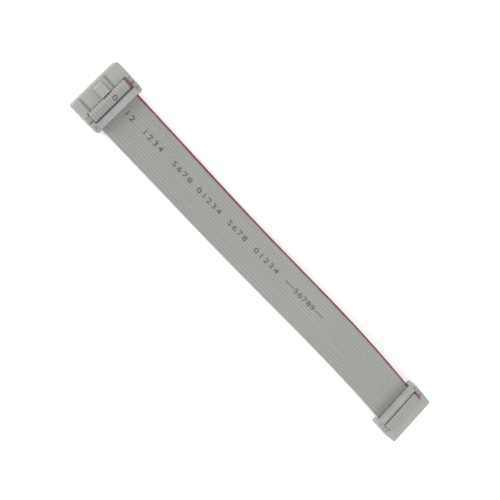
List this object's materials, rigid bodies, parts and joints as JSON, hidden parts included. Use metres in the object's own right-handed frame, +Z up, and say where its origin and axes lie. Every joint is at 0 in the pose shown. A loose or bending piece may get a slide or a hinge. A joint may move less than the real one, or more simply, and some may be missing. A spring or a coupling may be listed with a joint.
{
  "type": "ribbon cable",
  "caption": "Grey flat ribbon cable with a keyed pin socket and a strain relief clip at each end, its ribbon arching off the table between them.",
  "frame": {"origin": "on the table, midway between the outermost points of the two sockets' mating faces and midway across them", "axes": "+X along the cable from the socket that lies flat to the one that leans, +Y across it towards the marked wire, +Z up from the table"},
  "size_m": [0.21, 0.025, 0.0123],
  "materials": {
    "insulation": "smooth flexible insulation in rounded lobes, one edge marked red",
    "wire_metal": "drawn bare wire",
    "housing_plastic": "moulded, fine matte texture",
    "cover_plastic": "moulded, fine matte texture",
    "clip_plastic": "moulded, fine matte texture",
    "contact_metal": "stamped sheet"
  },
  "bodies": {
    "root": {"ribbon": "insulation", "wire_01": "wire_metal", "wire_02": "wire_metal", "wire_03": "wire_metal", "wire_04": "wire_metal", "wire_05": "wire_metal", "wire_06": "wire_metal", "wire_07": "wire_metal", "wire_08": "wire_metal", "wire_09": "wire_metal", "wire_10": "wire_metal", "wire_11": "wire_metal", "wire_12": "wire_metal", "wire_13": "wire_metal", "wire_14": "wire_metal", "wire_15": "wire_metal", "wire_16": "wire_metal", "housing_a": "housing_plastic", "cover_a": "cover_plastic", "strain_relief_a": "clip_plastic", "housing_b": "housing_plastic", "cover_b": "cover_plastic", "strain_relief_b": "clip_plastic", "contact_a_01": "contact_metal", "contact_a_02": "contact_metal", "contact_a_03": "contact_metal", "contact_a_04": "contact_metal", "contact_a_05": "contact_metal", "contact_a_06": "contact_metal", "contact_a_07": "contact_metal", "contact_a_08": "contact_metal", "contact_a_09": "contact_metal", "contact_a_10": "contact_metal", "contact_a_11": "contact_metal", "contact_a_12": "contact_metal", "contact_a_13": "contact_metal", "contact_a_14": "contact_metal", "contact_a_15": "contact_metal", "contact_a_16": "contact_metal", "contact_b_01": "contact_metal", "contact_b_02": "contact_metal", "contact_b_03": "contact_metal", "contact_b_04": "contact_metal", "contact_b_05": "contact_metal", "contact_b_06": "contact_metal", "contact_b_07": "contact_metal", "contact_b_08": "contact_metal", "contact_b_09": "contact_metal", "contact_b_10": "contact_metal", "contact_b_11": "contact_metal", "contact_b_12": "contact_metal", "contact_b_13": "contact_metal", "contact_b_14": "contact_metal", "contact_b_15": "contact_metal", "contact_b_16": "contact_metal"}
  },
  "joints": []
}
